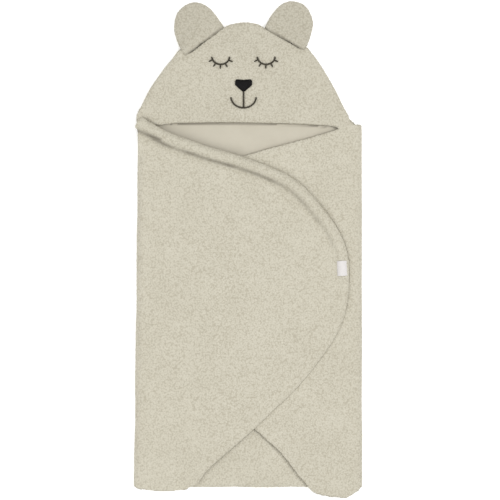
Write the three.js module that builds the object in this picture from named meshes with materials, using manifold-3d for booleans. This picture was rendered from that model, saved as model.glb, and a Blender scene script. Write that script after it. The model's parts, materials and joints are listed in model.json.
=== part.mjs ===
// Hooded baby towel laid flat: a bear hood, two front flaps that cross over the body, and a foot
// pocket. Millimetres, +Z up, +Y towards the head. The outside of the cloth is curly pile, and its
// inside is a smooth lining. Every place where the cloth bends or is sewn is a piece of its own.
import * as THREE from 'three';
import Module from 'manifold-3d';
import { mergeVertices } from 'three/addons/utils/BufferGeometryUtils.js';

// Body
const BODY_WIDTH = 380;
const BODY_LENGTH = 629.5; // shoulder to the lowest hem
const SHOULDER_Y = 216; // from the middle of the towel's whole length
const LEFT_LEAN = 7; // the left side leans out this much towards the foot
const LEFT_TOP_Y = 194; // where the left fold starts, below the rolled edge
const RIGHT_TOP_Y = 208;
const FOOT_Y = -396; // the turned-up foot edge

// Cloth
const PILE = 4;
const LINING = 1;
const PLY_GAP = 0.3; // between pile and lining
const STACK_GAP = 0.4; // between cloths that lie on each other
const SEW_GAP = 0.4; // between cloths that are sewn side by side
const POUCH_GAP = 4.5; // slack inside the foot pocket and under the crown
const EDGE_ROUND = 1.5;
const FOLD_THICK = 5;

// Rolled edge of the outer flap
const ROLL_WIDTH = 22;
const ROLL_HEIGHT = 12;

// Hood
const HOOD_RISE = 162.3; // shoulder to crown
const HOOD_FOLD_Y = 321.5; // the front of the hood lifts below this line
const HOOD_SEAM_WIDTH = 6;
const LEFT_SEAM_END_Y = 229;
const RIGHT_SEAM_END_Y = 222;
const BRIM_WIDTH = 9;
const BRIM_HEIGHT = 7.5;

// Ears
const EAR_HEIGHT = 69;
const EAR_WIDTH = 82;
const EAR_BACK_THICK = 6;
const EAR_FRONT_THICK = 7.2;
const EAR_ROUND = 2.7;

// Foot pocket
const POCKET_DEPTH = 170;
const POCKET_DIP = 8; // its upper edge hangs lower in the middle
const CORNER = 6;

// Face
const FACE_X = -7.3;
const EYE_Y = 316;
const EYE_SPACING = 75.5;
const EYE_WIDTH = 30;
const EYE_DROP = 13;
const LASH_LENGTH = 7;
const NOSE_Y = 263; // its point
const NOSE_WIDTH = 28;
const NOSE_HEIGHT = 19.5;
const MOUTH_WIDTH = 42;
const MOUTH_DROP = 18;
const MOUTH_Y = 235; // its lowest point
const THREAD_WIDTH = 2.8;
const THREAD_HEIGHT = 1.5;

// Label
const LABEL_ALONG = 0.5; // its place along the rolled edge, as a share of its length
const LABEL_LENGTH = 30;
const LABEL_THICK = 0.8;
const LABEL_GAP = 0.9;
const LABEL_START = 22; // degrees round the roll
const LABEL_END = 158;

// Heights of the layers
const PLY = LINING + PLY_GAP + PILE;
const POCKET_Z = PLY + POUCH_GAP;
const INNER_Z = POCKET_Z + PLY + STACK_GAP;
const OUTER_Z = INNER_Z + PLY + STACK_GAP;
const INNER_TOP = INNER_Z + PLY;
const OUTER_TOP = OUTER_Z + PLY;
const ROLL_Z = OUTER_Z + ROLL_HEIGHT / 2;
const BRIM_Z = INNER_Z + PLY / 2;

const HALF_WIDTH = BODY_WIDTH / 2;
const LEFT_RADIUS = OUTER_TOP / 2;
const RIGHT_RADIUS = INNER_TOP / 2;
const FOOT_RADIUS = (POCKET_Z + PLY) / 2;
const SEAM_INSET = HOOD_SEAM_WIDTH + SEW_GAP;

const wasm = await Module();
wasm.setup();

const towel = new THREE.Group();
towel.name = 'hooded_baby_towel';

const COLORS = {
  pile: 0xd0c9b6,
  lining: 0xcbc4b2,
  thread: 0x46423a,
  nose: 0x201e1e,
  label: 0xf0ecec,
};

function addMesh(name, geometry, color) {
  const material = new THREE.MeshStandardMaterial({ color: COLORS[color], roughness: 0.95 });
  material.name = name;
  const mesh = new THREE.Mesh(geometry, material);
  mesh.name = name;
  towel.add(mesh);
}

const v2 = (x, y) => new THREE.Vector2(x, y);

// A place on the body: across as a share of the half width, down as a share of the length.
const onBody = (across, down) => v2(across * HALF_WIDTH, SHOULDER_Y - down * BODY_LENGTH);

// A place on the hood: across as above, up in shares of the shoulder's distance to the crown.
const onHood = (across, up) => v2(across * HALF_WIDTH, SHOULDER_Y + up * HOOD_RISE);

// The left side at a height y.
const SIDE_LENGTH = LEFT_TOP_Y - FOOT_Y;
const leftSide = (y) => -HALF_WIDTH + (LEFT_LEAN * (y - FOOT_Y)) / SIDE_LENGTH;

// Points of a curve moved sideways, to the left of its direction for a positive distance.
function beside(curve, distance, count) {
  const points = [];
  for (let i = 0; i <= count; i += 1) {
    const at = curve.getPointAt(i / count);
    const along = curve.getTangentAt(i / count);
    points.push(v2(at.x - along.y * distance, at.y + along.x * distance));
  }
  return points;
}

// A flat cloth panel with rounded edges, from height z up.
function panel(points, z, thick, round) {
  const shape = new THREE.Shape(points);
  const geometry = new THREE.ExtrudeGeometry(shape, {
    depth: thick - 2 * round,
    bevelEnabled: round > 0,
    bevelThickness: round,
    bevelSize: round,
    bevelOffset: -round,
    bevelSegments: 2,
    curveSegments: 8,
  });
  geometry.translate(0, 0, z + round);
  return geometry;
}

// Cloth with its lining below and its pile above, as on the flaps and the hood.
function clothFacingUp(name, points, z) {
  addMesh(`${name}_lining`, panel(points, z, LINING, 0), 'lining');
  addMesh(`${name}_shell`, panel(points, z + LINING + PLY_GAP, PILE, EDGE_ROUND), 'pile');
}

// A soft tube of oval section along a level curve.
function tube(points, z, width, height, steps) {
  const path = new THREE.CatmullRomCurve3(points.map((p) => new THREE.Vector3(p.x, p.y, z)));
  const section = new THREE.Shape();
  section.absellipse(0, 0, height / 2, width / 2, 0, 2 * Math.PI, false, 0);
  return new THREE.ExtrudeGeometry(section, {
    steps,
    curveSegments: 8,
    extrudePath: path,
    bevelEnabled: false,
  });
}

// Cloth bent round through half a circle, open to +X, running down from the origin.
function bend(radius, length) {
  const section = new THREE.Shape();
  section.absarc(0, 0, radius, Math.PI / 2, 1.5 * Math.PI, false);
  section.absarc(0, 0, radius - FOLD_THICK, 1.5 * Math.PI, Math.PI / 2, true);
  const geometry = new THREE.ExtrudeGeometry(section, {
    depth: length,
    curveSegments: 12,
    bevelEnabled: false,
  });
  geometry.rotateX(Math.PI / 2);
  return geometry;
}

function solid(geometry) {
  const bare = new THREE.BufferGeometry();
  bare.setAttribute('position', geometry.getAttribute('position'));
  if (geometry.index) bare.setIndex(geometry.index);
  const merged = mergeVertices(bare, 1e-4);
  const body = new wasm.Mesh({
    numProp: 3,
    vertProperties: new Float32Array(merged.attributes.position.array),
    triVerts: new Uint32Array(merged.index.array),
  });
  return new wasm.Manifold(body);
}

function joined(geometries) {
  const mesh = wasm.Manifold.union(geometries.map(solid)).getMesh();
  const geometry = new THREE.BufferGeometry();
  geometry.setAttribute('position', new THREE.BufferAttribute(mesh.vertProperties, 3));
  geometry.setIndex(new THREE.BufferAttribute(mesh.triVerts, 1));
  geometry.computeVertexNormals();
  return geometry;
}

// ---- ears: where each is sewn in, from its inner end to its outer end
const LEFT_EAR = { inner: onHood(-0.21, 0.954), outer: onHood(-0.544, 0.656), side: -1 };
const RIGHT_EAR = { inner: onHood(0.114, 0.964), outer: onHood(0.491, 0.707), side: 1 };

// Both ends of an ear's seam moved into the hood by a gap.
function seamLine(ear, gap) {
  const along = ear.outer.clone().sub(ear.inner).normalize();
  const inward = v2(along.y, -along.x).multiplyScalar(ear.side * gap);
  return [ear.inner.clone().add(inward), ear.outer.clone().add(inward)];
}

// Each ear's outline as shares of its width and height, from its inner end round to its outer end.
LEFT_EAR.outline = [
  [-0.5, 0.0],
  [-0.51, 0.35],
  [-0.49, 0.62],
  [-0.35, 0.9],
  [-0.1, 1.0],
  [0.1, 0.97],
  [0.25, 0.84],
  [0.38, 0.66],
  [0.46, 0.4],
  [0.5, 0.15],
  [0.49, 0.0],
];
RIGHT_EAR.outline = [
  [-0.44, 0.0],
  [-0.45, 0.28],
  [-0.42, 0.58],
  [-0.3, 0.83],
  [-0.06, 0.965],
  [0.12, 0.95],
  [0.27, 0.85],
  [0.4, 0.69],
  [0.48, 0.45],
  [0.51, 0.2],
  [0.495, 0.0],
];

function earPoints(ear) {
  const along = ear.outer.clone().sub(ear.inner).normalize();
  const out = v2(-along.y, along.x).multiplyScalar(ear.side);
  const middle = ear.inner.clone().add(ear.outer).multiplyScalar(0.5);
  const local = ear.outline.map(([a, b]) => v2(a * EAR_WIDTH, b * EAR_HEIGHT));
  const round = new THREE.SplineCurve(local).getPoints(26);
  return round.map((p) =>
    middle.clone().addScaledVector(along, p.x).addScaledVector(out, p.y),
  );
}

for (const [name, ear] of [['left_ear', LEFT_EAR], ['right_ear', RIGHT_EAR]]) {
  const points = earPoints(ear);
  addMesh(`${name}_back`, panel(points, 0, EAR_BACK_THICK, EAR_ROUND), 'pile');
  const frontZ = EAR_BACK_THICK + PLY_GAP;
  addMesh(`${name}_front`, panel(points, frontZ, EAR_FRONT_THICK, EAR_ROUND), 'pile');
}

// ---- hood sides, from behind the ear down to the shoulder
const LEFT_HOOD = new THREE.SplineCurve([
  onHood(-0.618, 0.696),
  onHood(-0.671, 0.615),
  onHood(-0.737, 0.523),
  onHood(-0.86, 0.317),
  onHood(-0.938, 0.133),
  onHood(-0.977, 0.06),
]);
const RIGHT_HOOD = new THREE.SplineCurve([
  onHood(0.532, 0.72),
  onHood(0.614, 0.605),
  onHood(0.733, 0.379),
  onHood(0.807, 0.21),
  onHood(0.858, 0.074),
  onHood(0.884, 0.0),
]);
const CROWN = new THREE.SplineCurve([
  onHood(-0.205, 0.952),
  onHood(-0.13, 0.986),
  onHood(-0.044, 1.0),
  onHood(0.04, 0.993),
  onHood(0.11, 0.962),
]);

const leftHood = (inset, low, high) =>
  beside(LEFT_HOOD, inset, 24).filter((p) => p.y >= low && p.y <= high);
const rightHood = (inset, low, high) =>
  beside(RIGHT_HOOD, -inset, 24).filter((p) => p.y >= low && p.y <= high);

const leftSeam = leftHood(HOOD_SEAM_WIDTH / 2, LEFT_SEAM_END_Y, Infinity);
const rightSeam = rightHood(HOOD_SEAM_WIDTH / 2, RIGHT_SEAM_END_Y, Infinity);
const SEAM_TOP = INNER_TOP - SEW_GAP;
addMesh('left_hood_seam', tube(leftSeam, SEAM_TOP / 2, HOOD_SEAM_WIDTH, SEAM_TOP, 20), 'pile');
addMesh('right_hood_seam', tube(rightSeam, SEAM_TOP / 2, HOOD_SEAM_WIDTH, SEAM_TOP, 20), 'pile');
const CROWN_TOP = POCKET_Z + PLY;
const crownPath = beside(CROWN, -HOOD_SEAM_WIDTH / 2, 8).slice(1, -1);
addMesh('crown_seam', tube(crownPath, CROWN_TOP / 2, HOOD_SEAM_WIDTH, CROWN_TOP, 12), 'pile');

// ---- back panel, one cloth from the foot to the crown
const crownEdge = beside(CROWN, -SEAM_INSET, 8).slice(1, -1);
const hoodTop = [...seamLine(LEFT_EAR, SEW_GAP).reverse(), ...crownEdge];
hoodTop.push(...seamLine(RIGHT_EAR, SEW_GAP));
const backLeft = (y) => v2(leftSide(y) + LEFT_RADIUS + SEW_GAP, y);
const backRight = HALF_WIDTH - RIGHT_RADIUS - SEW_GAP;
const backFoot = FOOT_Y + FOOT_RADIUS + SEW_GAP;
const backPoints = [
  backLeft(backFoot),
  backLeft(SHOULDER_Y),
  ...leftHood(SEAM_INSET, LEFT_SEAM_END_Y, Infinity).reverse(),
  ...hoodTop,
  ...rightHood(SEAM_INSET, RIGHT_SEAM_END_Y, Infinity),
  v2(backRight - CORNER, SHOULDER_Y - CORNER / 2),
  v2(backRight, RIGHT_TOP_Y),
  v2(backRight, backFoot),
];
addMesh('back_shell', panel(backPoints, 0, PILE, EDGE_ROUND), 'pile');
addMesh('back_lining', panel(backPoints, PILE + PLY_GAP, LINING, 0), 'lining');

// ---- bends at the two sides and at the foot
const leftBend = bend(LEFT_RADIUS, SIDE_LENGTH);
leftBend.rotateZ(-Math.atan2(LEFT_LEAN, SIDE_LENGTH));
leftBend.translate(leftSide(LEFT_TOP_Y) + LEFT_RADIUS, LEFT_TOP_Y, LEFT_RADIUS);
addMesh('left_side_fold', leftBend, 'pile');

const rightBend = bend(RIGHT_RADIUS, RIGHT_TOP_Y - FOOT_Y);
rightBend.rotateZ(Math.PI);
rightBend.translate(HALF_WIDTH - RIGHT_RADIUS, FOOT_Y, RIGHT_RADIUS);
addMesh('right_side_fold', rightBend, 'pile');

const footLeft = backLeft(backFoot).x;
const footBend = bend(FOOT_RADIUS, backRight - footLeft);
footBend.rotateZ(Math.PI / 2);
footBend.translate(footLeft, FOOT_Y + FOOT_RADIUS, FOOT_RADIUS);
addMesh('foot_fold', footBend, 'pile');

// ---- foot pocket, sewn into both side folds

// How far in from a side fold's outside the pocket may start, so that it meets the bend.
function insideBend(radius) {
  const hollow = radius - FOLD_THICK;
  const reach = (z) => Math.sqrt(Math.max(hollow ** 2 - (z - radius) ** 2, 0));
  return radius - Math.min(reach(POCKET_Z), reach(POCKET_Z + PLY)) + SEW_GAP;
}

const pocketLeft = (y) => v2(leftSide(y) + insideBend(LEFT_RADIUS), y);
const pocketRight = HALF_WIDTH - insideBend(RIGHT_RADIUS);
const pocketTop = FOOT_Y + POCKET_DEPTH;
const pocketPoints = [
  v2(footLeft, backFoot),
  v2(backRight, backFoot),
  v2(pocketRight, backFoot + CORNER),
  v2(pocketRight, pocketTop),
  v2(0, pocketTop - POCKET_DIP),
  pocketLeft(pocketTop),
  pocketLeft(backFoot + CORNER),
];
clothFacingUp('foot_pocket', pocketPoints, POCKET_Z);

// ---- crown, the part of the hood between the ears, which stays down
const crownPoints = [...hoodTop, v2(hoodTop[hoodTop.length - 1].x, hoodTop[0].y)];
clothFacingUp('hood_crown', crownPoints, POCKET_Z);

// ---- front of the hood with its turned brim
const BRIM = new THREE.SplineCurve([
  onHood(-0.67, -0.018),
  onHood(-0.42, -0.013),
  onHood(-0.03, -0.01),
  onHood(0.32, -0.02),
  onHood(0.55, -0.03),
  onHood(0.68, -0.044),
]);
addMesh('hood_brim', tube(BRIM.getPoints(24), BRIM_Z, BRIM_WIDTH, BRIM_HEIGHT, 24), 'pile');
const frontFold = HOOD_FOLD_Y - SEW_GAP;
const frontPoints = [
  ...leftHood(SEAM_INSET, LEFT_SEAM_END_Y, frontFold).reverse(),
  ...rightHood(SEAM_INSET, RIGHT_SEAM_END_Y, frontFold),
  ...beside(BRIM, BRIM_WIDTH / 2 + SEW_GAP, 24).reverse(),
];
clothFacingUp('hood_front', frontPoints, INNER_Z);

// ---- face, sewn in thick thread on the hood front
const FACE_Z = INNER_TOP + PLY_GAP;

// A line of stitches from one place to another.
function stitch(from, to) {
  const along = to.clone().sub(from);
  const line = new THREE.BoxGeometry(along.length(), THREAD_WIDTH * 0.8, THREAD_HEIGHT);
  line.rotateZ(Math.atan2(along.y, along.x));
  const middle = from.clone().add(to).multiplyScalar(0.5);
  line.translate(middle.x, middle.y, FACE_Z + THREAD_HEIGHT / 2);
  return line;
}

// A band of stitches along half an oval that hangs below (x, y).
function hangingArc(x, y, width, drop) {
  const oval = new THREE.EllipseCurve(x, y, width / 2, drop, Math.PI, 2 * Math.PI, false, 0);
  const outer = beside(oval, -THREAD_WIDTH / 2, 24);
  const inner = beside(oval, THREAD_WIDTH / 2, 24).reverse();
  return panel([...outer, ...inner], FACE_Z, THREAD_HEIGHT, 0);
}

function sleepingEye(x) {
  const pieces = [hangingArc(x, EYE_Y + 4, EYE_WIDTH, EYE_DROP)];
  for (const turn of [-156, -124, -92, -60, -26]) {
    const angle = (turn * Math.PI) / 180;
    const root = v2(x + (Math.cos(angle) * EYE_WIDTH) / 2, EYE_Y + 4 + Math.sin(angle) * EYE_DROP);
    const tip = v2(Math.cos(angle), Math.sin(angle)).multiplyScalar(LASH_LENGTH).add(root);
    pieces.push(stitch(root, tip));
  }
  return joined(pieces);
}

addMesh('left_eye', sleepingEye(FACE_X - EYE_SPACING / 2), 'thread');
addMesh('right_eye', sleepingEye(FACE_X + EYE_SPACING / 2), 'thread');

const noseTop = NOSE_Y + NOSE_HEIGHT;
const noseHalf = NOSE_WIDTH / 2;
const nose = new THREE.Shape();
nose.moveTo(FACE_X, NOSE_Y);
nose.quadraticCurveTo(FACE_X + noseHalf * 0.7, NOSE_Y + 1, FACE_X + noseHalf, noseTop - 7);
nose.quadraticCurveTo(FACE_X + noseHalf * 1.05, noseTop, FACE_X + noseHalf * 0.6, noseTop);
nose.quadraticCurveTo(FACE_X + noseHalf * 0.2, noseTop, FACE_X, noseTop - 1);
nose.quadraticCurveTo(FACE_X - noseHalf * 0.2, noseTop, FACE_X - noseHalf * 0.6, noseTop);
nose.quadraticCurveTo(FACE_X - noseHalf * 1.05, noseTop, FACE_X - noseHalf, noseTop - 7);
nose.quadraticCurveTo(FACE_X - noseHalf * 0.7, NOSE_Y + 1, FACE_X, NOSE_Y);
addMesh('nose', panel(nose.getPoints(6).slice(0, -1), FACE_Z, THREAD_HEIGHT, 0.4), 'nose');

const smile = hangingArc(FACE_X, MOUTH_Y + MOUTH_DROP, MOUTH_WIDTH, MOUTH_DROP);
const philtrum = stitch(v2(FACE_X, NOSE_Y - SEW_GAP), v2(FACE_X, MOUTH_Y));
addMesh('mouth', joined([smile, philtrum]), 'thread');

// ---- outer flap, from the left fold across the body, with its rolled edge
const ROLL = new THREE.SplineCurve([
  onBody(-0.968, 0.0),
  onBody(-0.7, 0.045),
  onBody(-0.408, 0.082),
  onBody(-0.079, 0.111),
  onBody(0.195, 0.141),
  onBody(0.405, 0.176),
  onBody(0.553, 0.221),
  onBody(0.774, 0.313),
  onBody(0.839, 0.411),
  onBody(0.774, 0.535),
  onBody(0.5, 0.662),
  onBody(0.062, 0.794),
  onBody(-0.379, 0.913),
  onBody(-0.489, 0.96),
]);
addMesh('outer_flap_roll', tube(ROLL.getSpacedPoints(40), ROLL_Z, ROLL_WIDTH, ROLL_HEIGHT, 60), 'pile');

const outerLeft = (y) => v2(leftSide(y) + LEFT_RADIUS + SEW_GAP, y);
const outerHem = new THREE.SplineCurve([
  onBody(-0.52, 0.982),
  onBody(-0.62, 0.987),
  onBody(-0.78, 0.989),
  onBody(-0.9, 0.984),
]);
const outerEdge = beside(ROLL, -ROLL_WIDTH / 2 - SEW_GAP, 44).filter(
  (p) => p.x > outerLeft(LEFT_TOP_Y).x + 2,
);
const outerPoints = [
  outerLeft(FOOT_Y),
  outerLeft(LEFT_TOP_Y - 10),
  ...outerEdge,
  ...outerHem.getPoints(6),
];
clothFacingUp('outer_flap', outerPoints, OUTER_Z);

// ---- inner flap, from the right fold across the body, under the outer flap
const INNER_EDGE = new THREE.SplineCurve([
  onBody(0.895, 0.004),
  onBody(0.79, 0.024),
  onBody(0.626, 0.039),
  onBody(0.358, 0.061),
  onBody(0.088, 0.083),
  onBody(-0.2, 0.115),
  onBody(-0.5, 0.176),
  onBody(-0.7, 0.26),
  onBody(-0.77, 0.37),
  onBody(-0.74, 0.48),
  onBody(-0.58, 0.61),
  onBody(-0.28, 0.73),
  onBody(0.067, 0.821),
  onBody(0.284, 0.882),
  onBody(0.425, 0.937),
  onBody(0.526, 0.972),
]);
const INNER_HEM = new THREE.SplineCurve([
  onBody(0.56, 0.982),
  onBody(0.626, 0.991),
  onBody(0.84, 1.0),
  onBody(0.91, 0.992),
]);
const innerPoints = [
  v2(backRight, RIGHT_TOP_Y),
  ...INNER_EDGE.getPoints(52),
  ...INNER_HEM.getPoints(8),
  v2(backRight, FOOT_Y),
];
clothFacingUp('inner_flap', innerPoints, INNER_Z);

// ---- label, a tab sewn at the inner side of the roll and lying over it
const labelSection = new THREE.Shape();
const labelStart = (LABEL_START * Math.PI) / 180;
const labelEnd = (LABEL_END * Math.PI) / 180;
const insideX = ROLL_WIDTH / 2 + LABEL_GAP;
const insideZ = ROLL_HEIGHT / 2 + LABEL_GAP;
const outsideX = insideX + LABEL_THICK;
const outsideZ = insideZ + LABEL_THICK;
labelSection.absellipse(0, 0, outsideX, outsideZ, labelStart, labelEnd, false, 0);
labelSection.absellipse(0, 0, insideX, insideZ, labelEnd, labelStart, true, 0);
const label = new THREE.ExtrudeGeometry(labelSection, {
  depth: LABEL_LENGTH,
  curveSegments: 10,
  bevelEnabled: false,
});
label.translate(0, 0, -LABEL_LENGTH / 2);
label.rotateX(Math.PI / 2);
const labelAlong = ROLL.getTangentAt(LABEL_ALONG);
label.rotateZ(Math.atan2(-labelAlong.x, labelAlong.y) + Math.PI);
const labelAt = ROLL.getPointAt(LABEL_ALONG);
label.translate(labelAt.x, labelAt.y, ROLL_Z);
addMesh('label', label, 'label');

export default towel;
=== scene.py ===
"""Hooded baby towel laid flat, seen from straight above on a pale studio floor.

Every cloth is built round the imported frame: copies of its plain solids are joined, remeshed to an even
grid, settled into soft undulations, and given the nubs of a curly pile. Metres, +Z up, +Y to the hood.
"""

import json
import logging
import math
from dataclasses import dataclass, field
from enum import Enum
from typing import Callable, Sequence

import bmesh
import bpy
import numpy as np
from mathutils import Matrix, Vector, noise
from mathutils.bvhtree import BVHTree


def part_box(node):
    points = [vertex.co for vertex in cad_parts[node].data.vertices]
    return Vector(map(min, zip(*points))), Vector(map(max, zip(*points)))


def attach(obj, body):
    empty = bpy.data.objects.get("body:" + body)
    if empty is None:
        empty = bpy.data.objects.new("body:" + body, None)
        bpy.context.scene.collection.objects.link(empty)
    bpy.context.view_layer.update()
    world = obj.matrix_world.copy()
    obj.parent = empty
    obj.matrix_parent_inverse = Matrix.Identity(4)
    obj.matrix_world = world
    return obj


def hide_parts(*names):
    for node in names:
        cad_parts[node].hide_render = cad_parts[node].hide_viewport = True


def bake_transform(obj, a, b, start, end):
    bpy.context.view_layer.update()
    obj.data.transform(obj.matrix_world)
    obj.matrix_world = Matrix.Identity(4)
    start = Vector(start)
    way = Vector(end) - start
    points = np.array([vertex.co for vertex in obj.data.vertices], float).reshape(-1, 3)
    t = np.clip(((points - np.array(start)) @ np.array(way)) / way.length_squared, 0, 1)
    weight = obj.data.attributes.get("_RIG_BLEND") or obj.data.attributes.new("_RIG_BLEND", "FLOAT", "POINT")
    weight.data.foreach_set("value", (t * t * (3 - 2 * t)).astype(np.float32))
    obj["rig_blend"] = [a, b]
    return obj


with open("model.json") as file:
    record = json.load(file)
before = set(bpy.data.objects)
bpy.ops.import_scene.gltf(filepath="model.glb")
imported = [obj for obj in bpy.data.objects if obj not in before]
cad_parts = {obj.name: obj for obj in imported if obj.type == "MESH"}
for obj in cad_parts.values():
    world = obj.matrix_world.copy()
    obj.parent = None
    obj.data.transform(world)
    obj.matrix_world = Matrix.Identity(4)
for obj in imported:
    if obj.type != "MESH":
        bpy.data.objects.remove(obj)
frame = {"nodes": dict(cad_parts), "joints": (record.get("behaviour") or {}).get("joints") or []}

MM = 0.001
START_OBJECTS = ("Cube", "Light", "Camera")
# The mesh layer that holds painted shade.
PAINTED_SHADE_LAYER = "crease"
BLEND_WEIGHTS = "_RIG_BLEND"
EDGE = 0.05 * MM
FOLD_THICK = 5 * MM
FOLD_INSIDE = 0.6
log = logging.getLogger("towel")

Points = np.ndarray
Colour = tuple[float, float, float]


class Body(Enum):
    """The bodies of the frame that pieces follow."""

    BACK = "back"
    OUTER_FLAP = "outer_flap"
    INNER_FLAP = "inner_flap"
    HOOD_FRONT = "hood_front"
    LEFT_EAR = "left_ear"
    RIGHT_EAR = "right_ear"
    LABEL = "label"


class Slot(Enum):
    """The record's material slots."""

    PILE = "pile"
    LINING = "lining"
    FACE_THREAD = "face_thread"
    NOSE_THREAD = "nose_thread"
    LABEL_TAPE = "label_tape"


class Held(Enum):
    """How a sheet is held."""

    LAID = "laid"
    FOLDED = "folded"


# ---- shader tools


class Signal:
    """A number socket that adds its own Math nodes when it is used in an expression."""

    def __init__(self, tree: bpy.types.NodeTree, socket: bpy.types.NodeSocket) -> None:
        """Wraps a socket of a node tree."""
        self.tree = tree
        self.socket = socket

    def _math(self, operation: str, first: object, second: object = None, clamp: bool = False) -> "Signal":
        """Adds one Math node.

        Args:
            operation: the Math node's operation.
            first: a Signal or number for its first socket.
            second: a Signal or number for its second socket, if it has one.
            clamp: whether the result is held between 0 and 1.

        Returns:
            The node's result.
        """
        node = self.tree.nodes.new("ShaderNodeMath")
        node.operation = operation
        node.use_clamp = clamp
        for socket, value in zip(node.inputs, (first, second)):
            if isinstance(value, Signal):
                self.tree.links.new(value.socket, socket)
            elif value is not None:
                socket.default_value = float(value)
        return Signal(self.tree, node.outputs[0])

    def __add__(self, other: object) -> "Signal":
        """Sum."""
        return self._math("ADD", self, other)

    __radd__ = __add__

    def __sub__(self, other: object) -> "Signal":
        """Difference."""
        return self._math("SUBTRACT", self, other)

    def __rsub__(self, other: object) -> "Signal":
        """Difference from a number."""
        return self._math("SUBTRACT", other, self)

    def __mul__(self, other: object) -> "Signal":
        """Product."""
        return self._math("MULTIPLY", self, other)

    __rmul__ = __mul__

    def sine(self) -> "Signal":
        """Sine of the value in radians."""
        return self._math("SINE", self)

    def clamped(self) -> "Signal":
        """The value held between 0 and 1."""
        return self._math("ADD", self, 0.0, clamp=True)


class Shader:
    """One material's node tree with a Principled surface."""

    def __init__(self, name: str) -> None:
        """Makes an empty material with its output and surface."""
        self.material = bpy.data.materials.new(name)
        self.material.use_nodes = True
        self.tree = self.material.node_tree
        self.tree.nodes.clear()
        self.surface = self.node("ShaderNodeBsdfPrincipled")
        output = self.node("ShaderNodeOutputMaterial")
        self.tree.links.new(self.surface.outputs["BSDF"], output.inputs["Surface"])

    def node(self, kind: str, settings: dict | None = None, inputs: dict | None = None) -> bpy.types.Node:
        """Adds a node.

        Args:
            kind: the node's type.
            settings: attributes to set before the sockets.
            inputs: socket name or index to a value, a Signal or a socket.

        Returns:
            The new node.
        """
        node = self.tree.nodes.new(kind)
        for key, value in (settings or {}).items():
            setattr(node, key, value)
        for key, value in (inputs or {}).items():
            socket = node.inputs[key]
            if isinstance(value, Signal):
                self.tree.links.new(value.socket, socket)
            elif isinstance(value, bpy.types.NodeSocket):
                self.tree.links.new(value, socket)
            else:
                socket.default_value = value
        return node

    def place(self) -> bpy.types.NodeSocket:
        """The piece's own coordinates, in metres."""
        return self.node("ShaderNodeTexCoord").outputs["Object"]

    def noise(
        self, at: bpy.types.NodeSocket, scale: float, detail: float = 2.0, rough: float = 0.5
    ) -> Signal:
        """Soft noise.

        Args:
            at: the coordinates.
            scale: features per metre.
            detail: octaves.
            rough: weight of the finer octaves.

        Returns:
            The noise, about 0.5 in the mean.
        """
        inputs = {"Vector": at, "Scale": scale, "Detail": detail, "Roughness": rough}
        return Signal(self.tree, self.node("ShaderNodeTexNoise", inputs=inputs).outputs[0])

    def cells(self, at: bpy.types.NodeSocket, scale: float, smooth: float = 0.35) -> Signal:
        """Distance to the middle of the nearest cell, 0 in its middle.

        Args:
            at: the coordinates.
            scale: cells per metre.
            smooth: how far neighbouring cells melt together.

        Returns:
            The distance.
        """
        settings = {"feature": "SMOOTH_F1"}
        inputs = {"Vector": at, "Scale": scale, "Smoothness": smooth}
        return Signal(self.tree, self.node("ShaderNodeTexVoronoi", settings, inputs).outputs["Distance"])

    def bent(self, at: bpy.types.NodeSocket, scale: float, amount: float) -> bpy.types.NodeSocket:
        """Coordinates pushed about by noise, so that cells become curls.

        Args:
            at: the coordinates.
            scale: bends per metre.
            amount: how far points move, in metres.

        Returns:
            The moved coordinates.
        """
        push = self.node("ShaderNodeTexNoise", inputs={"Vector": at, "Scale": scale, "Detail": 1.0})
        centred = self.node(
            "ShaderNodeVectorMath", {"operation": "SUBTRACT"}, {0: push.outputs["Color"], 1: (0.5, 0.5, 0.5)}
        )
        scaled = self.node(
            "ShaderNodeVectorMath", {"operation": "SCALE"}, {0: centred.outputs[0], "Scale": amount}
        )
        moved = self.node("ShaderNodeVectorMath", {"operation": "ADD"}, {0: at, 1: scaled.outputs[0]})
        return moved.outputs[0]

    def axis(self, at: bpy.types.NodeSocket, index: int) -> Signal:
        """One coordinate on its own."""
        return Signal(self.tree, self.node("ShaderNodeSeparateXYZ", inputs={0: at}).outputs[index])

    def stored(self, name: str) -> Signal:
        """A number that the mesh holds at each point, 0 where it holds none."""
        node = self.node("ShaderNodeAttribute", {"attribute_name": name})
        return Signal(self.tree, node.outputs["Fac"])

    def between(self, mask: Signal, low: object, high: object) -> bpy.types.NodeSocket:
        """Mixes two colours.

        Args:
            mask: 0 for low and 1 for high.
            low: a colour or a colour socket.
            high: a colour or a colour socket.

        Returns:
            The mixed colour.
        """
        first, second = ((*value, 1.0) if isinstance(value, tuple) else value for value in (low, high))
        inputs = {0: mask, 6: first, 7: second}
        return self.node("ShaderNodeMix", {"data_type": "RGBA"}, inputs).outputs[2]

    def paint(self, colour: bpy.types.NodeSocket, rough: object) -> None:
        """Feeds the surface's colour and roughness."""
        self.tree.links.new(colour, self.surface.inputs["Base Color"])
        socket = self.surface.inputs["Roughness"]
        if isinstance(rough, Signal):
            self.tree.links.new(rough.socket, socket)
        else:
            socket.default_value = rough

    def emboss(self, height: Signal, distance: float, strength: float = 1.0) -> None:
        """Feeds the surface's normal from a height.

        Args:
            height: 0 for low and 1 for high.
            distance: what a height of 1 stands for, in metres.
            strength: share of the effect.
        """
        inputs = {"Height": height, "Distance": distance, "Strength": strength}
        bump = self.node("ShaderNodeBump", inputs=inputs)
        self.tree.links.new(bump.outputs["Normal"], self.surface.inputs["Normal"])

    def sheen(self, weight: float, rough: float, tint: Colour) -> None:
        """Sets the soft fuzz on the surface's own sockets."""
        self.surface.inputs["Sheen Weight"].default_value = weight
        self.surface.inputs["Sheen Roughness"].default_value = rough
        self.surface.inputs["Sheen Tint"].default_value = (*tint, 1.0)


# ---- finishes


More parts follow.
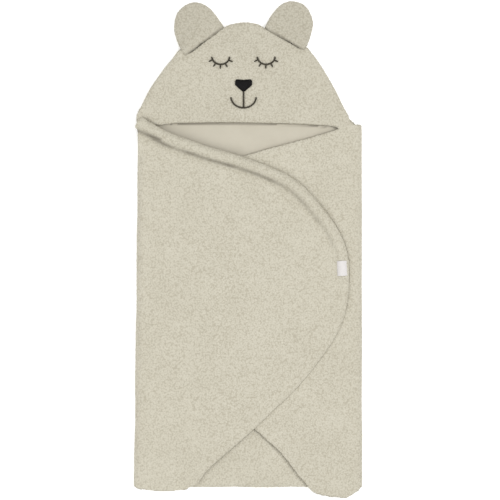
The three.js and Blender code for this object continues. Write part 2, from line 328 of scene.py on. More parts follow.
@dataclass(frozen=True)
class CurlyPile:
    """Short teddy pile in loose curls."""

    # The valley colour is painted shade between the curls, and the tip colour is a painted highlight on them.
    valley: Colour = (0.447, 0.414, 0.326)
    body: Colour = (0.547, 0.517, 0.42)
    tip: Colour = (0.625, 0.595, 0.497)
    curl: float = 2.7 * MM
    fibre: float = 0.8 * MM
    height: float = 1.2 * MM
    # The colour of the painted shade in creases, under edges and beside seams.
    crease: Colour = (0.115, 0.1, 0.075)

    def build(self) -> bpy.types.Material:
        """Returns the material."""
        shader = Shader("curly_pile")
        at = shader.place()
        curled = shader.bent(at, 0.9 / self.curl, 1.1 * self.curl)
        curls = (1.0 - 1.25 * shader.cells(curled, 1.0 / self.curl, 0.3)).clamped()
        fine = shader.noise(curled, 1.0 / self.fibre, 2.0, 0.6)
        height = (0.68 * curls + 0.5 * fine).clamped()
        patches = shader.noise(at, 22.0, 2.0, 0.55)
        clumps = shader.noise(at, 130.0, 2.0, 0.6)
        # Painted shade in the valleys and a painted highlight on the tips, both from the curl height; the
        # patches and clumps add tone that differs at random.
        deep = shader.between((2.8 * height - 0.7).clamped(), self.valley, self.body)
        lit = (0.15 + 1.1 * (height - 0.4) + 0.9 * (clumps - 0.5) + 0.7 * (patches - 0.5)).clamped()
        # Painted shade read from the stored layer.
        crease = (shader.stored(PAINTED_SHADE_LAYER) * (0.75 + 0.5 * fine)).clamped()
        shader.paint(shader.between(crease, shader.between(lit, deep, self.tip), self.crease), 0.93)
        shader.emboss(height, self.height, 0.7)
        shader.sheen(0.18, 0.55, (0.9, 0.86, 0.78))
        return shader.material


@dataclass(frozen=True)
class SmoothKnit:
    """Fine brushed jersey, the lining."""

    shade: Colour = (0.49, 0.455, 0.37)
    face: Colour = (0.565, 0.53, 0.44)
    wale: float = 1.3 * MM
    # The colour of the painted shade, such as the brim's shadow on the lining.
    crease: Colour = (0.12, 0.1, 0.078)

    def build(self) -> bpy.types.Material:
        """Returns the material."""
        shader = Shader("smooth_knit")
        at = shader.place()
        soft = shader.bent(at, 160.0, 0.7 * MM)
        turns = 2.0 * math.pi / self.wale
        ribs = 0.5 + 0.5 * (turns * shader.axis(soft, 0)).sine()
        rows = 0.5 + 0.5 * (0.72 * turns * shader.axis(soft, 1)).sine()
        fuzz = shader.noise(at, 900.0, 2.0, 0.6)
        knit = (0.45 * ribs + 0.3 * rows + 0.35 * fuzz).clamped()
        patches = shader.noise(at, 35.0, 3.0, 0.55)
        tone = (0.35 + 0.5 * (knit - 0.5) + 0.9 * (patches - 0.35)).clamped()
        # Painted shade read from the stored layer.
        crease = shader.stored(PAINTED_SHADE_LAYER).clamped()
        shader.paint(shader.between(crease, shader.between(tone, self.shade, self.face), self.crease), 0.86)
        shader.emboss(knit, 0.25 * MM, 0.7)
        shader.sheen(0.1, 0.5, (0.9, 0.86, 0.78))
        return shader.material


@dataclass(frozen=True)
class Thread:
    """Twisted embroidery thread."""

    name: str
    shade: Colour
    light: Colour
    rough: float = 0.55

    def build(self) -> bpy.types.Material:
        """Returns the material."""
        shader = Shader(self.name)
        at = shader.place()
        strands = shader.noise(shader.bent(at, 500.0, 0.5 * MM), 1400.0, 3.0, 0.65)
        # Tone that differs at random along the thread, as from wear.
        wear_and_shade = shader.noise(at, 90.0, 2.0, 0.5)
        tone = (1.5 * (strands - 0.35) + 0.6 * (wear_and_shade - 0.5)).clamped()
        rough = (self.rough + 0.2 * (strands - 0.5)).clamped()
        shader.paint(shader.between(tone, self.shade, self.light), rough)
        shader.emboss(strands, 0.2 * MM, 0.8)
        shader.sheen(0.01, 0.4, (0.7, 0.68, 0.62))
        shader.surface.inputs["Specular IOR Level"].default_value = 0.15
        return shader.material


@dataclass(frozen=True)
class WovenTape:
    """White satin label tape with a fine twill."""

    ground: Colour = (0.64, 0.615, 0.6)
    light: Colour = (0.75, 0.725, 0.715)
    pitch: float = 0.55 * MM

    def build(self) -> bpy.types.Material:
        """Returns the material."""
        shader = Shader("woven_tape")
        at = shader.place()
        turns = 2.0 * math.pi / self.pitch
        twill = 0.5 + 0.5 * (turns * (shader.axis(at, 1) + 0.6 * shader.axis(at, 0))).sine()
        picks = 0.5 + 0.5 * (0.7 * turns * shader.axis(at, 0)).sine()
        weave = (0.6 * twill + 0.4 * picks).clamped()
        soiled = shader.noise(at, 120.0, 2.0, 0.5)
        tone = (0.7 * weave + 0.6 * (soiled - 0.3)).clamped()
        shader.paint(shader.between(tone, self.ground, self.light), 0.5)
        shader.emboss(weave, 0.12 * MM, 0.7)
        return shader.material


@dataclass(frozen=True)
class StudioFloor:
    """Plain white board."""

    shade: Colour = (0.93, 0.93, 0.93)
    glow: float = 0.3

    def build(self) -> bpy.types.Material:
        """Returns the material."""
        shader = Shader("studio_floor")
        tone = shader.noise(shader.place(), 3.0, 1.0, 0.5)
        shader.paint(shader.between(tone, self.shade, (0.95, 0.95, 0.95)), 0.95)
        shader.surface.inputs["Emission Color"].default_value = (1.0, 1.0, 1.0, 1.0)
        shader.surface.inputs["Emission Strength"].default_value = self.glow
        return shader.material


FACE_THREAD = Thread("face_thread", (0.034, 0.029, 0.02), (0.115, 0.102, 0.076))
NOSE_THREAD = Thread("nose_thread", (0.003, 0.0027, 0.0027), (0.014, 0.013, 0.013), 0.5)


@dataclass
class Wardrobe:
    """The finishes of the whole towel, each built once."""

    pile: bpy.types.Material = field(default_factory=CurlyPile().build)
    lining: bpy.types.Material = field(default_factory=SmoothKnit().build)
    face_thread: bpy.types.Material = field(default_factory=FACE_THREAD.build)
    nose_thread: bpy.types.Material = field(default_factory=NOSE_THREAD.build)
    tape: bpy.types.Material = field(default_factory=WovenTape().build)


# ---- mesh tools


def ramp(values: Points | float, low: float, high: float) -> Points:
    """Smooth step from 0 at low to 1 at high.

    Args:
        values: where to read it.
        low: the value that gives 0.
        high: the value that gives 1, which may be below low.

    Returns:
        The step at each value.
    """
    t = np.clip((np.asarray(values, dtype=float) - low) / (high - low), 0.0, 1.0)
    return t * t * (3.0 - 2.0 * t)


def wander(points: Points, scale: float, layer: float, across: float = 1.0, along: float = 1.0) -> Points:
    """Soft noise at each point, seen from above.

    Args:
        points: where to read it.
        scale: features per metre.
        layer: tells one field of noise from another.
        across: factor on the scale over the width.
        along: factor on the scale over the length.

    Returns:
        The noise, from about -1 to 1.
    """
    places = (Vector((x * scale * across, y * scale * along, layer)) for x, y, _ in points)
    return np.array([noise.noise(place) for place in places])


def read_points(mesh: bpy.types.Mesh) -> Points:
    """The mesh's points as rows of x, y, z."""
    flat = np.empty(len(mesh.vertices) * 3, dtype=np.float32)
    mesh.vertices.foreach_get("co", flat)
    return flat.reshape(-1, 3).astype(float)


def write_points(mesh: bpy.types.Mesh, points: Points) -> None:
    """Puts the points back into the mesh."""
    mesh.vertices.foreach_set("co", points.astype(np.float32).ravel())
    mesh.update()


def keep_above(piece: bpy.types.Object, level: float) -> Points:
    """Lifts what lies below a level up to it.

    Args:
        piece: the piece.
        level: the level.

    Returns:
        The piece's points.
    """
    points = read_points(piece.data)
    points[:, 2] = np.maximum(points[:, 2], level)
    write_points(piece.data, points)
    return points


def point_normals(mesh: bpy.types.Mesh) -> Points:
    """The normal at each point of the mesh."""
    flat = np.empty(len(mesh.vertices) * 3, dtype=np.float32)
    mesh.vertex_normals.foreach_get("vector", flat)
    return flat.reshape(-1, 3).astype(float)


def add_object(name: str, mesh: bpy.types.Mesh) -> bpy.types.Object:
    """Links a new object with this mesh into the scene."""
    piece = bpy.data.objects.new(name, mesh)
    bpy.context.scene.collection.objects.link(piece)
    return piece


def settle_modifiers(piece: bpy.types.Object) -> None:
    """Applies the piece's modifiers."""
    graph = bpy.context.evaluated_depsgraph_get()
    graph.update()
    mesh = bpy.data.meshes.new_from_object(piece.evaluated_get(graph))
    old = piece.data
    piece.modifiers.clear()
    piece.data = mesh
    mesh.name = piece.name
    bpy.data.meshes.remove(old)


def modify(piece: bpy.types.Object, kind: str, **settings: object) -> None:
    """Adds one modifier with its settings and applies it."""
    modifier = piece.modifiers.new(kind.lower(), kind)
    for key, value in settings.items():
        setattr(modifier, key, value)
    settle_modifiers(piece)


def ring_angles(sides: int) -> list[float]:
    """The angles of a ring's points."""
    return [2.0 * math.pi * side / sides for side in range(sides)]


def close_tube(store: bmesh.types.BMesh, rings: Sequence[Sequence[bmesh.types.BMVert]]) -> None:
    """Joins rings of points into a tube that is closed at both ends.

    Args:
        store: the mesh that holds the points.
        rings: the rings, all with as many points.
    """
    for first, second in zip(rings, rings[1:]):
        for side in range(len(first)):
            after = (side + 1) % len(first)
            store.faces.new((first[side], first[after], second[after], second[side]))
    store.faces.new(list(reversed(rings[0])))
    store.faces.new(rings[-1])


@dataclass(frozen=True)
class Patch:
    """A flat piece of cloth that fills a corner between solids, in millimetres."""

    low: float
    high: float
    outline: tuple[tuple[float, float], ...]

    def add(self, store: bmesh.types.BMesh) -> None:
        """Adds the patch to a mesh."""
        rings = []
        for z in (self.low, self.high):
            rings.append([store.verts.new((x * MM, y * MM, z * MM)) for x, y in self.outline])
        close_tube(store, rings)


@dataclass(frozen=True)
class Bulge:
    """A soft rounded end, in millimetres."""

    centre: tuple[float, float, float]
    radii: tuple[float, float, float]

    def add(self, store: bmesh.types.BMesh) -> None:
        """Adds the bulge to a mesh."""
        made = bmesh.ops.create_icosphere(store, subdivisions=3, radius=1.0)
        for vertex in made["verts"]:
            place = (c + r * v for c, r, v in zip(self.centre, self.radii, vertex.co))
            vertex.co = Vector(value * MM for value in place)


def joined_copy(
    name: str,
    nodes: Sequence[str],
    move: Callable[[str, Points], Points] | None,
    extras: Sequence[Patch | Bulge] = (),
) -> bpy.types.Object:
    """Copies the solids of some nodes into one new piece.

    Args:
        name: the new piece's name.
        nodes: the nodes to copy.
        move: may shift each node's points before they are joined.
        extras: what fills the corners between them.

    Returns:
        The new piece.
    """
    store = bmesh.new()
    for extra in extras:
        extra.add(store)
    for node in nodes:
        mesh = frame["nodes"][node].data.copy()
        if move is not None:
            write_points(mesh, move(node, read_points(mesh)))
        store.from_mesh(mesh)
        bpy.data.meshes.remove(mesh)
    result = bpy.data.meshes.new(name)
    store.to_mesh(result)
    store.free()
    return add_object(name, result)


def paint_shade(piece: bpy.types.Object, depth: Points) -> None:
    """Stores how much painted shade each point gets, for the finish to darken: shade in creases, under edges
    and beside seams.

    Args:
        piece: the piece.
        depth: 0 on open cloth and 1 where the painted shade is darkest.
    """
    mesh = piece.data
    layer = mesh.attributes.get(PAINTED_SHADE_LAYER) or mesh.attributes.new(PAINTED_SHADE_LAYER, "FLOAT", "POINT")
    layer.data.foreach_set("value", np.clip(depth, 0.0, 1.0).astype(np.float32))


def shade_smooth(piece: bpy.types.Object) -> None:
    """Smooth shading all over."""
    piece.data.polygons.foreach_set("use_smooth", [True] * len(piece.data.polygons))
    piece.data.update()


def dress(piece: bpy.types.Object, material: bpy.types.Material) -> None:
    """Gives the piece one finish.

    Args:
        piece: the piece.
        material: its finish.
    """
    piece.data.materials.clear()
    piece.data.materials.append(material)


@dataclass
class Relief:
    """Soft shapes that every cloth shares, so that layers rise and fall together."""

    broad: float = 95 * MM
    narrow: float = 38 * MM
    broad_height: float = 1.5 * MM
    narrow_height: float = 0.7 * MM
    floor: float = 6 * MM
    full: float = 17 * MM
    nub: float = 3.6 * MM
    nub_height: float = 1.0 * MM
    sway: float = 0.9 * MM
    sway_length: float = 52 * MM
    drawn: float = 0.4

    def rise(self, points: Points) -> Points:
        """How far the stack of cloth rises at each point."""
        broad = self.broad_height * wander(points, 1.0 / self.broad, 3.7)
        return broad + self.narrow_height * wander(points, 1.0 / self.narrow, 9.1)

    def settle(self, points: Points) -> Points:
        """Lifts points with the stack; the lowest cloth stays on the floor."""
        moved = points.copy()
        moved[:, 2] += self.rise(points) * ramp(points[:, 2], self.floor, self.full)
        scale = 1.0 / self.sway_length
        moved[:, 0] += self.sway * wander(points, scale, 5.3, across=self.drawn)
        moved[:, 1] += self.sway * wander(points, scale, 7.9, along=self.drawn)
        return moved

    def nubs(self, points: Points) -> Points:
        """Height of the curls at each point, from 0 in a valley to 1 on a tip."""
        scale = 1.0 / self.nub
        found = np.empty(len(points))
        for index, (x, y, z) in enumerate(points):
            near = noise.voronoi(Vector((x * scale, y * scale, z * scale)))[0][0]
            found[index] = 1.0 - min(near * 1.15, 1.0)
        return found


RELIEF = Relief()


@dataclass(frozen=True)
class RolledEdge:
    """How the rolled edge of the outer flap changes on its way to the foot."""

    floor: float = 21.2 * MM
    width: float = 22 * MM
    height: float = 12 * MM
    low: float = 0.42
    dome: float = 1.2
    foot: float = -170 * MM
    neck: float = 190 * MM
    neck_drop: float = 4.0 * MM

    def full(self, y: Points | float) -> Points:
        """Share of its whole height that the roll keeps at a place along the towel."""
        return self.low + (1.0 - self.low) * ramp(y, self.foot, self.neck)

    def drop(self, points: Points) -> Points:
        """How far the roll's end at the neck hangs towards the foot at each point."""
        across = ramp(points[:, 0], -85 * MM, -140 * MM)
        return self.neck_drop * across * ramp(points[:, 1], 120 * MM, 165 * MM)


ROLL = RolledEdge()


@dataclass
class Cloth:
    """One cloth of pile with its lining, made from copies of the frame's solids.

    is_inside says from points and their normals where the lining covers the cloth. move may shift each
    solid's points before they are joined, and shape the cloth's points after that.
    """

    name: str
    nodes: tuple[str, ...]
    is_inside: Callable[[Points, Points], Points]
    voxel: float = 2.4 * MM
    smooth: int = 5
    move: Callable[[str, Points], Points] | None = None
    shape: Callable[[Points, Points], Points] | None = None
    extras: tuple[Patch | Bulge, ...] = ()
    piece: bpy.types.Object | None = None

    def build(self) -> None:
        """Makes the cloth, still without its curls."""
        self.piece = joined_copy(self.name, self.nodes, self.move, self.extras)
        modify(self.piece, "REMESH", mode="VOXEL", voxel_size=self.voxel, adaptivity=0.0)
        modify(self.piece, "SMOOTH", factor=0.5, iterations=self.smooth)
        mesh = self.piece.data
        points = RELIEF.settle(read_points(mesh))
        if self.shape is not None:
            points = self.shape(points, point_normals(mesh))
        write_points(mesh, points)

    def line(self, name: str, offset: float = 0.35 * MM) -> bpy.types.Object:
        """Makes the lining from the inside faces, just off the pile cloth.

        Args:
            name: the lining's name.
            offset: how far it lies off the cloth.

        Returns:
            The lining.
        """
        mesh = self.piece.data.copy()
        mesh.name = name
        count = len(mesh.polygons)
        centres = np.empty(count * 3, dtype=np.float32)
        normals = np.empty(count * 3, dtype=np.float32)
        mesh.polygons.foreach_get("center", centres)
        mesh.polygons.foreach_get("normal", normals)
        inside = self.is_inside(centres.reshape(-1, 3).astype(float), normals.reshape(-1, 3).astype(float))
        store = bmesh.new()
        store.from_mesh(mesh)
        store.faces.ensure_lookup_table()
        outside = [face for face, keep in zip(store.faces, inside) if not keep]
        bmesh.ops.delete(store, geom=outside, context="FACES")
        bmesh.ops.delete(store, geom=self._small_islands(store), context="FACES")
        store.normal_update()
        for vertex in store.verts:
            vertex.co += vertex.normal * offset
        store.to_mesh(mesh)
        store.free()
        lining = add_object(name, mesh)
        shade_smooth(lining)
        return lining

    @staticmethod
    def _small_islands(store: bmesh.types.BMesh) -> list[bmesh.types.BMFace]:
        """Faces that belong to any group except the largest."""
        seen: set[int] = set()
        groups: list[list[bmesh.types.BMFace]] = []
        store.faces.index_update()
        for first in store.faces:
            if first.index in seen:
                continue
            group, queue = [], [first]
            seen.add(first.index)
            while queue:
                face = queue.pop()
                group.append(face)
                for edge in face.edges:
                    for other in edge.link_faces:
                        if other.index not in seen:
                            seen.add(other.index)
                            queue.append(other)
            groups.append(group)
        groups.sort(key=len, reverse=True)
        return [face for group in groups[1:] for face in group]

    def curl(self, quiet: Callable[[Points], Points] | None = None) -> None:
        """Raises the pile's curls on every face that the lining doesn't cover.

        Args:
            quiet: gives 1 where the pile is pressed flat, and 0 where it is free.
        """
        mesh = self.piece.data
        points = read_points(mesh)
        normals = point_normals(mesh)
        free = 1.0 - self.is_inside(points, normals).astype(float)
        if quiet is not None:
            free = free * (1.0 - quiet(points))
        height = RELIEF.nubs(points) - 0.75
        write_points(mesh, points + normals * (RELIEF.nub_height * height * free)[:, None])
        shade_smooth(self.piece)


def nearest_distance(nodes: Sequence[str], points: Points, reach: float) -> Points:
    """Distance from each point to the nearest of some nodes' surfaces, seen from above.

    Args:
        nodes: the nodes.
        points: where to measure.
        reach: the largest distance that matters.

    Returns:
        The distances, none over reach.
    """
    store = bmesh.new()
    for node in nodes:
        store.from_mesh(frame["nodes"][node].data)
    for vertex in store.verts:
        vertex.co.z = 0.0
    tree = BVHTree.FromBMesh(store)
    store.free()
    found = np.full(len(points), reach)
    for index, (x, y, _) in enumerate(points):
        hit = tree.find_nearest(Vector((x, y, 0.0)), reach)
        if hit[3] is not None:
            found[index] = hit[3]
    return found


def line_distance(points: Points, start: tuple[float, float], end: tuple[float, float]) -> Points:
    """Distance from each point to a straight line's nearest place, seen from above.

    Args:
        points: where to measure.
        start: the line's start.
        end: the line's end.

    Returns:
        The distances.
    """
    first, along = np.array(start), np.array(end) - np.array(start)
    share = np.clip((points[:, :2] - first) @ along / (along @ along), 0.0, 1.0)
    return np.linalg.norm(points[:, :2] - first - share[:, None] * along, axis=1)


def past_side_fold(node: str, radius: float, at: Points) -> Points:
    """How far each point lies outside the middle line of a side fold.

    Args:
        node: the fold.
        radius: the fold's outer radius.
        at: the points.

    Returns:
        The distances across, below 0 on the towel's side of the line.
    """
    points = read_points(frame["nodes"][node].data)
    outward = -1.0 if points[:, 0].mean() < 0 else 1.0
    low = points[points[:, 1] < points[:, 1].min() + MM]
    high = points[points[:, 1] > points[:, 1].max() - 3 * MM]
    foot = low[np.argmax(outward * low[:, 0])]
    head = high[np.argmax(outward * high[:, 0])]
    slope = (head[0] - foot[0]) / (head[1] - foot[1])
    side = foot[0] + slope * (at[:, 1] - foot[1])
    return outward * (at[:, 0] - side) + radius


def lined(past: Points, radius: float, at: Points, normal: Points) -> Points:
    """Where the lining covers a turned cloth: below it, and within the fold that it turns about.

    Args:
        past: how far each point lies outside the fold's middle line.
        radius: the fold's outer radius.
        at: the points.
        normal: the normal at each.

    Returns:
        True where the lining covers the point.
    """
    within = np.hypot(past, at[:, 2] - radius) < radius - FOLD_INSIDE * FOLD_THICK
    below = (normal[:, 2] < -0.5) & (at[:, 2] > radius)
    return np.where(past > 0.0, within, below)


def ride_back(piece: bpy.types.Object) -> None:
    """Makes a piece ride on the back."""
    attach(piece, Body.BACK.value)


# ---- sub-assemblies


@dataclass
class Panel:
    """One cloth of the towel with its lining: the size that it was cut to, and how it is held."""

    area: float
    flat: tuple[float, float]
    held: Held

    def _finish(
        self,
        pair: tuple[bpy.types.Object, bpy.types.Object],
        wardrobe: Wardrobe,
        nodes: tuple[Sequence[str], Sequence[str]],
        follow: Callable[[bpy.types.Object], None],
        **lies: object,
    ) -> list[bpy.types.Object]:
        """Dresses a cloth and its lining, hides the nodes that they stand for and ties both to the frame.

        Args:
            pair: the cloth and its lining.
            wardrobe: the finishes.
            nodes: the nodes that each of the two stands for.
            follow: makes a piece follow its body.
            lies: not used.

        Returns:
            The two pieces.
        """
        finishes = ((wardrobe.pile, Slot.PILE), (wardrobe.lining, Slot.LINING))
        for piece, (material, slot), replaced in zip(pair, finishes, nodes):
            dress(piece, material)
            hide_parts(*replaced)
            follow(piece)
        cloth, lining = pair
        return [cloth, lining]


@dataclass
class BackPanel(Panel):
    """The panel that the baby lies on, from the foot to the crown."""

    area: float = 0.255
    flat: tuple[float, float] = (0.365, 0.765)
    held: Held = Held.LAID
    slack: float = 7.4 * MM
    crown_slack: float = 3.2 * MM
    left_rise: tuple[float, float] = (-176 * MM, -142 * MM)
    right_rise: tuple[float, float] = (170 * MM, 136 * MM)
    foot_rise: tuple[float, float] = (40 * MM, 130 * MM)
    crown_rise: tuple[float, float] = (285 * MM, 322 * MM)
    crown_end: tuple[float, float] = (368 * MM, 340 * MM)
    # Width, darkness and lower side of the painted shadow of the brim on the lining.
    brim_shadow: float = 3.2 * MM
    brim_dark: float = 0.72
    brim_lip: tuple[float, float] = (213.5 * MM, 211.5 * MM)
    overlap: float = 2.4 * MM

    def _inside(self, at: Points, normal: Points) -> Points:
        """Which points the lining covers: the upper side."""
        return normal[:, 2] > 0.5

    def _reach_out(self, points: Points, normals: Points) -> Points:
        """Carries the cloth's sides into the folds and sewn edges, so that no gap shows from below."""
        moved = points.copy()
        moved[:, :2] += self.overlap * normals[:, :2]
        return moved

    def _slack(self, points: Points) -> Points:
        """Lets the lining rise to the hood and the flaps at the neck, as loose cloth does."""
        x, y = points[:, 0], points[:, 1]
        loose = ramp(x, *self.left_rise) * ramp(x, *self.right_rise) * ramp(y, *self.foot_rise)
        rise = self.slack + (self.crown_slack - self.slack) * ramp(y, *self.crown_rise)
        moved = points.copy()
        moved[:, 2] += rise * loose * ramp(y, *self.crown_end)
        return moved

    def build(self, wardrobe: Wardrobe) -> list[bpy.types.Object]:
        """Makes the pile underside and the lining that shows at the neck.

        Args:
            wardrobe: the finishes.

        Returns:
            The pieces.
        """
        nodes = ("back_shell",)
        cloth = Cloth("back_cloth", nodes, self._inside, voxel=3.0 * MM, smooth=3, shape=self._reach_out)
        cloth.build()
        lining = cloth.line("back_lining_cloth", 1.1 * MM)
        points = self._slack(read_points(lining.data))
        write_points(lining.data, points)
        # Painted shadow of the brim on the lining, just outside its lower edge.
        brim = nearest_distance(["hood_brim"], points, self.brim_shadow)
        below = (brim > EDGE) * ramp(points[:, 1], *self.brim_lip)
        paint_shade(lining, self.brim_dark * ramp(brim, self.brim_shadow, 0.0) * below)
        cloth.curl()
        keep_above(cloth.piece, 0.0)
        pair = (cloth.piece, lining)
        return self._finish(pair, wardrobe, (nodes, ("back_lining",)), ride_back, with_pieces=[lining])


@dataclass
class OuterFlap(Panel):
    """The flap from the left, on top, with its fold and its puffy rolled edge."""

    area: float = 0.165
    flat: tuple[float, float] = (0.36, 0.60)
    held: Held = Held.FOLDED
    fold_radius: float = 13.25 * MM
    crease_reach: float = 10 * MM
    crease_depth: float = 4.4 * MM
    crease_run: tuple[float, float] = (-90 * MM, 130 * MM)
    # Width, darkness and run along the towel of the painted shade in the crease beside the roll.
    crease_line: float = 5.2 * MM
    crease_dark: float = 0.74
    dark_run: tuple[float, float] = (-60 * MM, 165 * MM)
    side_crease: tuple[tuple[float, float], tuple[float, float]] = ((-0.1835, 0.201), (-0.146, 0.1855))
    swell: float = 1.0 * MM
    swell_length: float = 34 * MM
    hem: float = -394 * MM
    hem_pull: float = 0.45
    shell: tuple[str, ...] = ("outer_flap_shell", "left_side_fold", "outer_flap_roll")
    beside_roll: tuple[str, ...] = ("outer_flap_shell", "left_side_fold")
    extras: tuple[Patch | Bulge, ...] = (
        Patch(
            17.5,
            26.3,
            ((-182.5, 165), (-183.5, 185), (-184.5, 204), (-178, 212), (-150, 199), (-150, 165)),
        ),
        Bulge((-174.5, 210.5, 24.6), (11.6, 12.5, 6.0)),
        Patch(
            18.0,
            26.3,
            ((-188.6, -380), (-187.6, -391), (-184.5, -397.5), (-178, -402), (-165, -403.5), (-165, -380)),
        ),
        Patch(
            21.3,
            26.3,
            ((-124, -404), (-113, -402.5), (-99, -396.5), (-87.5, -391.5), (-90, -377), (-124, -377)),
        ),
    )

    def _inside(self, at: Points, normal: Points) -> Points:
        """Which points the lining covers."""
        past = past_side_fold("left_side_fold", self.fold_radius, at)
        return lined(past, self.fold_radius, at, normal)

    def _flatten_roll(self, node: str, points: Points) -> Points:
        """Lets the roll sink into the flap on its way to the foot, with its outer side on the cloth below."""
        if node != "outer_flap_roll":
            return points
        outward = nearest_distance(["outer_flap_shell"], points, ROLL.width)
        dome = 1.0 + ROLL.dome * ramp(outward, 0.25 * ROLL.width, 0.7 * ROLL.width)
        share = np.clip((points[:, 2] - ROLL.floor) / ROLL.height, 0.0, 1.0)
        moved = points.copy()
        moved[:, 2] = ROLL.floor + ROLL.height * ROLL.full(points[:, 1]) * share**dome
        return moved

    def _beside(self, points: Points, reach: float) -> tuple[Points, Points, Points]:
        """How far each point lies from the crease beside the roll, from the roll and from the flap.

        Args:
            points: the points.
            reach: the largest distance that matters.

        Returns:
            The three distances.
        """
        roll = nearest_distance(["outer_flap_roll"], points, reach)
        flap = nearest_distance(self.beside_roll, points, reach)
        crease = np.minimum(np.maximum(roll, flap), line_distance(points, *self.side_crease))
        return crease, roll, flap

    def _crease(self, points: Points, normals: Points) -> Points:
        """Presses the cloth down where the roll meets the flap, and swells the roll between.

        Args:
            points: the cloth's points.
            normals: their normals.

        Returns:
            The moved points.
        """
        crease, roll, flap = self._beside(points, self.crease_reach)
        fade = ramp(points[:, 1], *self.crease_run)
        depth = ramp(crease, self.crease_reach, 0.0) * self.crease_depth * fade
        on_roll = ramp(flap, 0.0, self.crease_reach) * (roll < MM)
        swell = self.swell * wander(points, 1.0 / self.swell_length, 1.3) * on_roll
        moved = points.copy()
        moved[:, 2] += np.clip(normals[:, 2], 0.0, 1.0) * (swell - depth)
        moved[:, 1] -= ROLL.drop(points) + self.hem_pull * np.minimum(points[:, 1] - self.hem, 0.0)
        return moved

    def _dark(self, points: Points) -> Points:
        """How much painted shade the crease beside the rolled edge gets at each point."""
        undropped = points.copy()
        undropped[:, 1] += ROLL.drop(points)
        line = ramp(self._beside(undropped, self.crease_line)[0], self.crease_line, 0.3 * MM)
        patchy = 0.78 + 0.5 * wander(points, 45.0, 2.0)
        on_top = points[:, 2] > ROLL.floor - 2 * MM
        return line * ramp(points[:, 1], *self.dark_run) * self.crease_dark * patchy * on_top

    def _follow(self, piece: bpy.types.Object) -> None:
        """Bends a cloth from the back, round the fold, to the flap."""
        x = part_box("left_side_fold")[0].x
        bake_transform(piece, Body.BACK.value, Body.OUTER_FLAP.value, (x, 0.0, 5.3 * MM), (x, 0.0, 17 * MM))

    def build(self, wardrobe: Wardrobe) -> list[bpy.types.Object]:
        """Makes the flap and its lining.

        Args:
            wardrobe: the finishes.

        Returns:
            The pieces.
        """
        made = {"move": self._flatten_roll, "shape": self._crease, "extras": self.extras}
        cloth = Cloth("outer_flap_cloth", self.shell, self._inside, **made)
        cloth.build()
        lining = cloth.line("outer_flap_lining_cloth")
        cloth.curl()
        # The crease beside the roll gets painted shade.
        paint_shade(cloth.piece, self._dark(read_points(cloth.piece.data)))
        nodes = (self.shell, ("outer_flap_lining",))
        on = ["inner_flap_cloth", "back_cloth"]
        return self._finish((cloth.piece, lining), wardrobe, nodes, self._follow, rests_on=on)


@dataclass
class InnerFlap(Panel):
    """The flap from the right, underneath, with the fold that it turns about."""

    area: float = 0.155
    flat: tuple[float, float] = (0.36, 0.62)
    held: Held = Held.FOLDED
    fold_radius: float = 10.4 * MM
    corner: Patch = Patch(
        15.3,
        20.6,
        ((165, -380), (165, -411), (172, -409.5), (178, -404.5), (184.5, -400), (188, -391), (188.6, -380)),
    )

    def _inside(self, at: Points, normal: Points) -> Points:
        """Which points the lining covers."""
        past = past_side_fold("right_side_fold", self.fold_radius, at)
        return lined(past, self.fold_radius, at, normal)

    def _follow(self, piece: bpy.types.Object) -> None:
        """Bends a cloth from the back, round the fold, to the flap."""
        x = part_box("right_side_fold")[1].x
        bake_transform(piece, Body.BACK.value, Body.INNER_FLAP.value, (x, 0.0, 5.3 * MM), (x, 0.0, 14.5 * MM))

    def build(self, wardrobe: Wardrobe) -> list[bpy.types.Object]:
        """Makes the flap and its lining.

        Args:
            wardrobe: the finishes.

        Returns:
            The pieces.
        """
        shell = ("inner_flap_shell", "right_side_fold")
        cloth = Cloth("inner_flap_cloth", shell, self._inside, extras=(self.corner,))
        cloth.build()
        lining = cloth.line("inner_flap_lining_cloth")
        cloth.curl()
        nodes = (shell, ("inner_flap_lining",))
        on = ["back_cloth", "foot_pocket_cloth"]
        return self._finish((cloth.piece, lining), wardrobe, nodes, self._follow, rests_on=on)


@dataclass
class FootPocket(Panel):
    """The turned-up tail of the back panel, which makes a pocket for the feet."""

    area: float = 0.062
    flat: tuple[float, float] = (0.365, 0.18)
    held: Held = Held.FOLDED
    fold_radius: float = 7.55 * MM
    # Width and darkness of the painted shadow that the inner flap's edge casts on the pocket.
    flap_line: float = 3.4 * MM
    flap_dark: float = 0.5

    def _inside(self, at: Points, normal: Points) -> Points:
        """Which points the lining covers."""
        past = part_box("foot_fold")[0].y + self.fold_radius - at[:, 1]
        return lined(past, self.fold_radius, at, normal)

    def build(self, wardrobe: Wardrobe) -> list[bpy.types.Object]:
        """Makes the pocket and its lining.

        Args:
            wardrobe: the finishes.

        Returns:
            The pieces.
        """
        shell = ("foot_pocket_shell", "foot_fold")
        cloth = Cloth("foot_pocket_cloth", shell, self._inside, smooth=4)
        cloth.build()
        lining = cloth.line("foot_pocket_lining_cloth")
        cloth.curl()
        # Painted shadow of the inner flap's edge on the pocket, just outside that edge.
        inner = nearest_distance(["inner_flap_shell"], read_points(cloth.piece.data), self.flap_line)
        paint_shade(cloth.piece, self.flap_dark * ramp(inner, self.flap_line, 0.0) * (inner > EDGE))
        nodes = (shell, ("foot_pocket_lining",))
        return self._finish((cloth.piece, lining), wardrobe, nodes, ride_back, rests_on=["back_cloth"])


